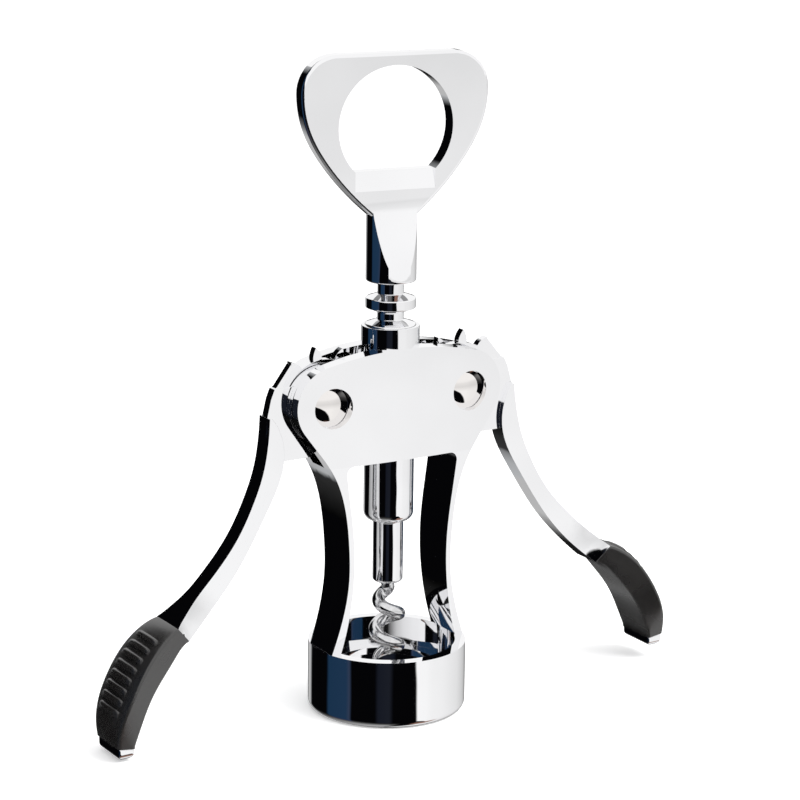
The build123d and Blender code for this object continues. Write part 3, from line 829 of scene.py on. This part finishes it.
def dark_side(tree, azimuth, elevation):
    """A black wall on the left with a blue and a grey card on it, and the pale table in front of it."""
    wall = ramp(tree, azimuth, [
        (-180, BACK_WALL), (-172, BLACK_WALL), (-129, BLACK_WALL), (-124, BLUE_CARD),
        (-92, BLUE_CARD_FRONT), (-87, BLUE_CARD_EDGE), (-83, BLACK_WALL), (-47, BLACK_WALL),
        (-42, GREY_CARD), (-26, GREY_CARD_FRONT), (-20, BLACK_WALL), (180, BLACK_WALL),
    ])
    table = ramp(tree, elevation, [(-90, 0.5), (-60, 0.25), (-40, 0.05), (-24, 0), (90, 0)])
    off_front = ramp(tree, azimuth, [(-180, 1), (-30, 1), (-5, 0), (180, 0)])
    return blended(tree, "LIGHTEN", wall, blended(tree, "MULTIPLY", table, off_front))


def bright_share(tree, azimuth, elevation):
    """1 where the room is bright: right of a border that leans left as it rises, and on the ceiling."""
    border_points = [
        (-90, 48), (-50, 46), (-40, 36), (-30, 26), (-20, 14), (-14, 2), (-8, -14), (0, -28), (12, -55),
        (36, -95), (90, -95),
    ]
    border = ramp(tree, elevation, [(rise, (turn + 180) / 360) for rise, turn in border_points])
    past_border = calculate(tree, "MULTIPLY_ADD", border, -360, azimuth)
    on_border = -180
    half_softness = 2
    right_of_border = tree.nodes.new("ShaderNodeMapRange")
    right_of_border.interpolation_type = "SMOOTHSTEP"
    right_of_border.inputs["From Min"].default_value = on_border - half_softness
    right_of_border.inputs["From Max"].default_value = on_border + half_softness
    tree.links.new(past_border, right_of_border.inputs["Value"])
    ceiling = ramp(tree, elevation, [(-90, 0), (46, 0), (52, 1), (90, 1)])
    return blended(tree, "LIGHTEN", right_of_border.outputs["Result"], ceiling)


def warm_share(tree, azimuth, elevation):
    """1 on the warm patch of the table in front of the object, to the right."""
    height = ramp(tree, elevation, [(-90, 0), (-64, 0), (-58, 1), (-44, 1), (-40, 0), (90, 0)])
    width = ramp(tree, azimuth, [(-180, 0), (14, 0), (22, 1), (60, 1), (68, 0), (180, 0)])
    return blended(tree, "MULTIPLY", height, width)


class CorkscrewStageSetup(bpy.types.Operator):
    """Pale floor, soft studio light, world and camera"""
    bl_idname = "corkscrew.stage"
    bl_label = "Stage"

    def execute(self, context):
        self.floor()
        self.lights(context)
        self.world(context)
        self.camera(context)
        context.scene.view_settings.view_transform = "Standard"
        return {"FINISHED"}

    def floor(self):
        """A large pale square just below the object: it takes the shadow, and the metal doesn't mirror it."""
        half_side = 3.0
        gap_below = 0.02 * MM
        material, tree, shader = new_material("pale floor")
        shader.inputs["Base Color"].default_value = (0.9, 0.9, 0.9, 1)
        shader.inputs["Roughness"].default_value = 0.9
        shader.inputs["Specular IOR Level"].default_value = 0.0
        shader.inputs["Emission Color"].default_value = WHITE
        shader.inputs["Emission Strength"].default_value = 0.35
        mesh = bpy.data.meshes.new("floor")
        level = cad_bounds[0][2] - gap_below
        corners = [(x * half_side, y * half_side, level) for x, y in ((-1, -1), (1, -1), (1, 1), (-1, 1))]
        mesh.from_pydata(corners, [], [(0, 1, 2, 3)])
        mesh.materials.append(material)
        floor = bpy.data.objects.new("floor", mesh)
        bpy.context.scene.collection.objects.link(floor)
        floor.visible_glossy = False

    def lights(self, context):
        """Two large soft lights: the key from the front right, and a weaker one from above."""
        power = context.scene.corkscrew_stage.key_power
        self.area_light("key_light", place=(0.5, -0.5, 0.9), size=0.7, power=power)
        self.area_light("top_light", place=(0.1, -0.1, 1.1), size=0.8, power=0.4 * power)

    def area_light(self, name, place, size, power):
        """A square light aimed at the object's middle, that the metal doesn't mirror."""
        data = bpy.data.lights.new(name, "AREA")
        data.shape = "SQUARE"
        data.size = size
        data.energy = power
        lamp = bpy.data.objects.new(name, data)
        lamp.location = place
        aim = Vector((0, 0, 80 * MM)) - Vector(place)
        lamp.rotation_euler = aim.to_track_quat("-Z", "Y").to_euler()
        lamp.visible_glossy = False
        bpy.context.scene.collection.objects.link(lamp)

    def world(self, context):
        """The studio room that lights the object and is mirrored in it, with a plain backdrop behind."""
        fill = context.scene.corkscrew_stage.fill
        world = bpy.data.worlds.new("studio")
        context.scene.world = world
        world.use_nodes = True
        tree = world.node_tree
        tree.nodes.clear()
        azimuth, elevation = room_angles(tree)
        walls = mixed(
            tree, bright_share(tree, azimuth, elevation), dark_side(tree, azimuth, elevation),
            bright_side(tree, azimuth, elevation),
        )
        room_colour = mixed(tree, warm_share(tree, azimuth, elevation), walls, WARM_PATCH)

        path = tree.nodes.new("ShaderNodeLightPath")
        room = tree.nodes.new("ShaderNodeBackground")
        feed(tree, room.inputs["Color"], room_colour)
        strength = calculate(tree, "MULTIPLY_ADD", path.outputs["Is Glossy Ray"], 1 - fill, fill)
        feed(tree, room.inputs["Strength"], strength)
        backdrop = tree.nodes.new("ShaderNodeBackground")
        backdrop.inputs["Color"].default_value = WHITE
        backdrop_seen = calculate(
            tree, "MAXIMUM", path.outputs["Is Camera Ray"], path.outputs["Is Transmission Ray"]
        )
        choice = tree.nodes.new("ShaderNodeMixShader")
        feed(tree, choice.inputs["Fac"], backdrop_seen)
        tree.links.new(room.outputs["Background"], choice.inputs[1])
        tree.links.new(backdrop.outputs["Background"], choice.inputs[2])
        output = tree.nodes.new("ShaderNodeOutputWorld")
        tree.links.new(choice.outputs["Shader"], output.inputs["Surface"])

    def camera(self, context):
        """A long lens from the front left, a little above the object and slightly rolled."""
        target = Vector((2.94 * MM, 0, 76.5 * MM))
        azimuth = radians(31.19)
        elevation = radians(14.2)
        roll = radians(0.72)
        distance = 699 * MM
        back = Vector((-sin(azimuth) * cos(elevation), -cos(azimuth) * cos(elevation), sin(elevation)))
        across = Vector((0, 0, 1)).cross(back).normalized()
        upward = back.cross(across)
        right = cos(roll) * across + sin(roll) * upward
        top = cos(roll) * upward - sin(roll) * across
        data = bpy.data.cameras.new("camera")
        data.sensor_width = 36
        data.lens = 130.65
        camera = bpy.data.objects.new("camera", data)
        facing = Matrix((right, top, back)).transposed().to_4x4()
        camera.matrix_world = Matrix.Translation(target + distance * back) @ facing
        context.scene.collection.objects.link(camera)
        context.scene.camera = camera


class CorkscrewPanel(bpy.types.Panel):
    """The sizes and colours, and a button for each group of pieces"""
    bl_idname = "VIEW3D_PT_corkscrew"
    bl_label = "Corkscrew"
    bl_space_type = "VIEW_3D"
    bl_region_type = "UI"
    bl_category = "Corkscrew"

    def draw(self, context):
        for group in (
            context.scene.corkscrew_chrome, context.scene.corkscrew_grip,
            context.scene.corkscrew_shape, context.scene.corkscrew_stage,
        ):
            for name in group.bl_rna.properties.keys():
                if name not in ("rna_type", "name"):
                    self.layout.prop(group, name)
        for operator in PIECES:
            self.layout.operator(operator.bl_idname)


GROUPS = {
    "corkscrew_chrome": CorkscrewChrome,
    "corkscrew_grip": CorkscrewGrip,
    "corkscrew_shape": CorkscrewShape,
    "corkscrew_stage": CorkscrewStage,
}
PIECES = (
    CorkscrewFrame, CorkscrewPins, CorkscrewShaft, CorkscrewWorm, CorkscrewHandle, CorkscrewLevers,
    CorkscrewGrips, CorkscrewStageSetup,
)


def register():
    for name, group in GROUPS.items():
        bpy.utils.register_class(group)
        setattr(bpy.types.Scene, name, PointerProperty(type=group))
    for operator in PIECES:
        bpy.utils.register_class(operator)
    bpy.utils.register_class(CorkscrewPanel)


def unregister():
    bpy.utils.unregister_class(CorkscrewPanel)
    for operator in reversed(PIECES):
        bpy.utils.unregister_class(operator)
    for name, group in GROUPS.items():
        delattr(bpy.types.Scene, name)
        bpy.utils.unregister_class(group)


def main():
    register()
    bpy.ops.corkscrew.frame()
    bpy.ops.corkscrew.pins()
    bpy.ops.corkscrew.shaft()
    bpy.ops.corkscrew.worm()
    bpy.ops.corkscrew.handle()
    bpy.ops.corkscrew.levers()
    bpy.ops.corkscrew.grips()
    bpy.ops.corkscrew.stage()


if __name__ == "__main__":
    main()
